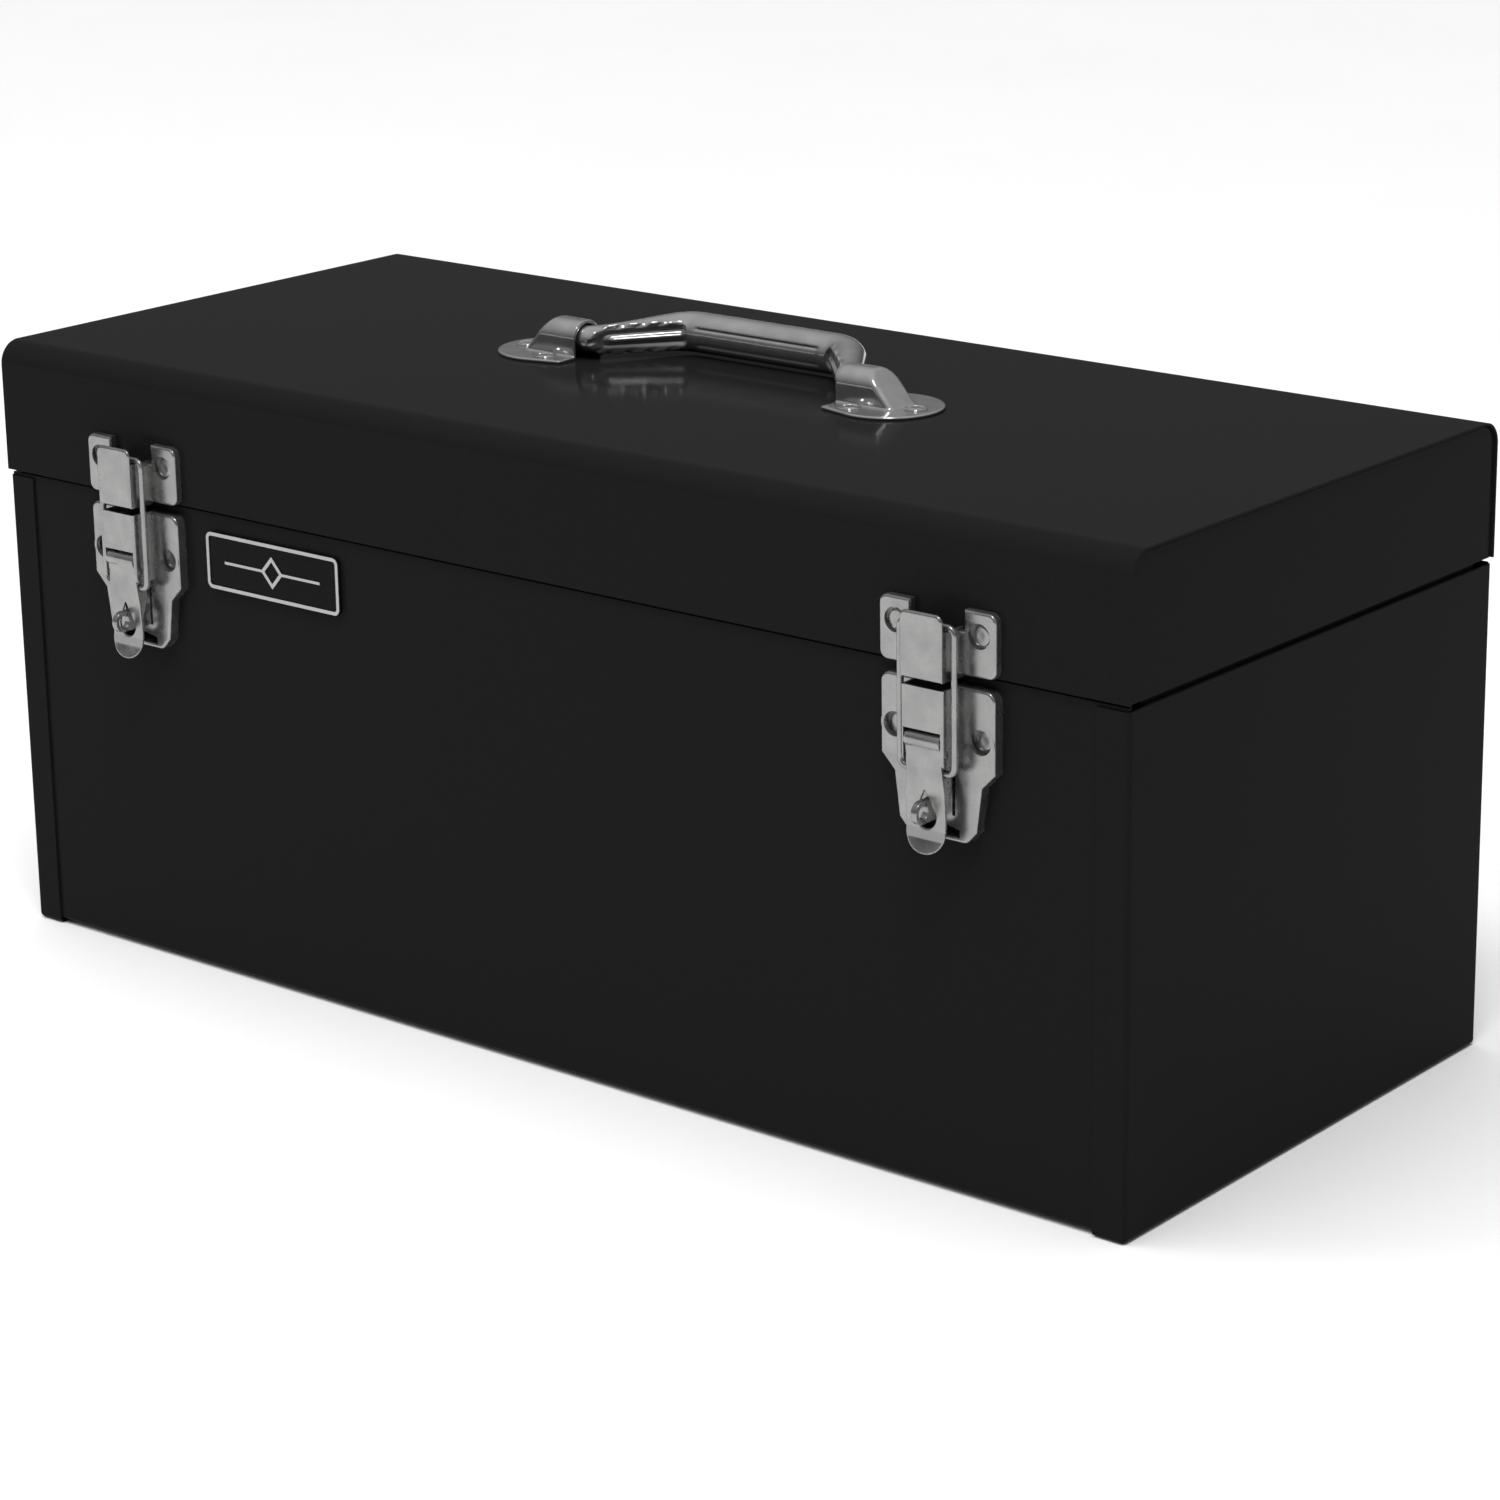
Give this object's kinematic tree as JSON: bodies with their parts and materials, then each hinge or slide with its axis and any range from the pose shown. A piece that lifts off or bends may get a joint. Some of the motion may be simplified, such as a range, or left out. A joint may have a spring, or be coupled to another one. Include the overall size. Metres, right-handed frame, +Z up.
{
  "type": "portable tool box",
  "caption": "Flat-top portable steel tool box with hinged lid, folding bail handle, draw latches with padlock eyes and a lift-out tray.",
  "frame": {"origin": "the middle of the body's footprint, on the plane that the end flanges stand on, 0.95 mm below the floor panel", "axes": "+Z up, +X along the front to the right, +Y towards the hinge, so the latches face -Y"},
  "size_m": [0.511, 0.2388, 0.2427],
  "materials": {
    "black_paint": "semi-gloss black enamel with a fine grain",
    "tray_paint": "semi-gloss black enamel, scuffed by tools",
    "nickel_plate": "bright nickel plate",
    "chrome_plate": "polished chrome plate",
    "zinc_steel": "zinc-plated steel",
    "badge_black": "gloss black enamel",
    "badge_silver": "satin raised silver"
  },
  "bodies": {
    "case": {"body_wrap": "black_paint", "hinge_case_leaf": "black_paint", "hinge_pin": "zinc_steel", "latch_base_rivets": "nickel_plate", "badge_plate": "badge_black", "badge_border": "badge_silver", "badge_motif": "badge_silver", "left_end_panel": "black_paint", "left_latch_base": "nickel_plate", "left_staple": "nickel_plate", "left_lever_pin": "nickel_plate", "left_tray_ledge": "black_paint", "right_end_panel": "black_paint", "right_latch_base": "nickel_plate", "right_staple": "nickel_plate", "right_lever_pin": "nickel_plate", "right_tray_ledge": "black_paint"},
    "lid": {"lid_wrap": "black_paint", "hinge_lid_leaf": "black_paint", "keeper_rivets": "nickel_plate", "bracket_rivets": "chrome_plate", "left_lid_end": "black_paint", "left_keeper": "nickel_plate", "left_bracket": "chrome_plate", "right_lid_end": "black_paint", "right_keeper": "nickel_plate", "right_bracket": "chrome_plate"},
    "handle": {"handle": "chrome_plate"},
    "left_lever": {"left_lever": "nickel_plate"},
    "left_bail": {"left_bail": "nickel_plate"},
    "right_lever": {"right_lever": "nickel_plate"},
    "right_bail": {"right_bail": "nickel_plate"},
    "tray": {"tray_wrap": "tray_paint", "left_tray_end": "tray_paint", "right_tray_end": "tray_paint", "tray_divider": "tray_paint", "tray_grip": "tray_paint"}
  },
  "joints": [
    {"name": "lid_hinge", "type": "hinge", "parent": "case", "child": "lid", "pos_m": [0, 0.1118, 0.1777], "axis": [-1, 0, 0], "range_deg": [0, 100]},
    {"name": "handle_swing", "type": "hinge", "parent": "lid", "child": "handle", "pos_m": [0, 0, 0.2339], "axis": [1, 0, 0], "range_deg": [0, 174.4]},
    {"name": "left_lever_pivot", "type": "hinge", "parent": "case", "child": "left_lever", "pos_m": [-0.184, -0.118, 0.1532], "axis": [-1, 0, 0], "range_deg": [0, 130]},
    {"name": "left_bail_swing", "type": "hinge", "parent": "left_lever", "child": "left_bail", "pos_m": [-0.184, -0.1174, 0.1467], "axis": [-1, 0, 0], "range_deg": [-119, 0]},
    {"name": "right_lever_pivot", "type": "hinge", "parent": "case", "child": "right_lever", "pos_m": [0.184, -0.118, 0.1532], "axis": [-1, 0, 0], "range_deg": [0, 130]},
    {"name": "right_bail_swing", "type": "hinge", "parent": "right_lever", "child": "right_bail", "pos_m": [0.184, -0.1174, 0.1467], "axis": [-1, 0, 0], "range_deg": [-119, 0]},
    {"name": "tray_lift", "type": "slide", "parent": "case", "child": "tray", "axis": [0, 0, 1], "range_m": [0, 0.02]}
  ],
  "couplings": [
    {"joint": "left_bail_swing", "follows": "left_lever_pivot", "ratio": -0.91},
    {"joint": "right_bail_swing", "follows": "right_lever_pivot", "ratio": -0.91}
  ]
}
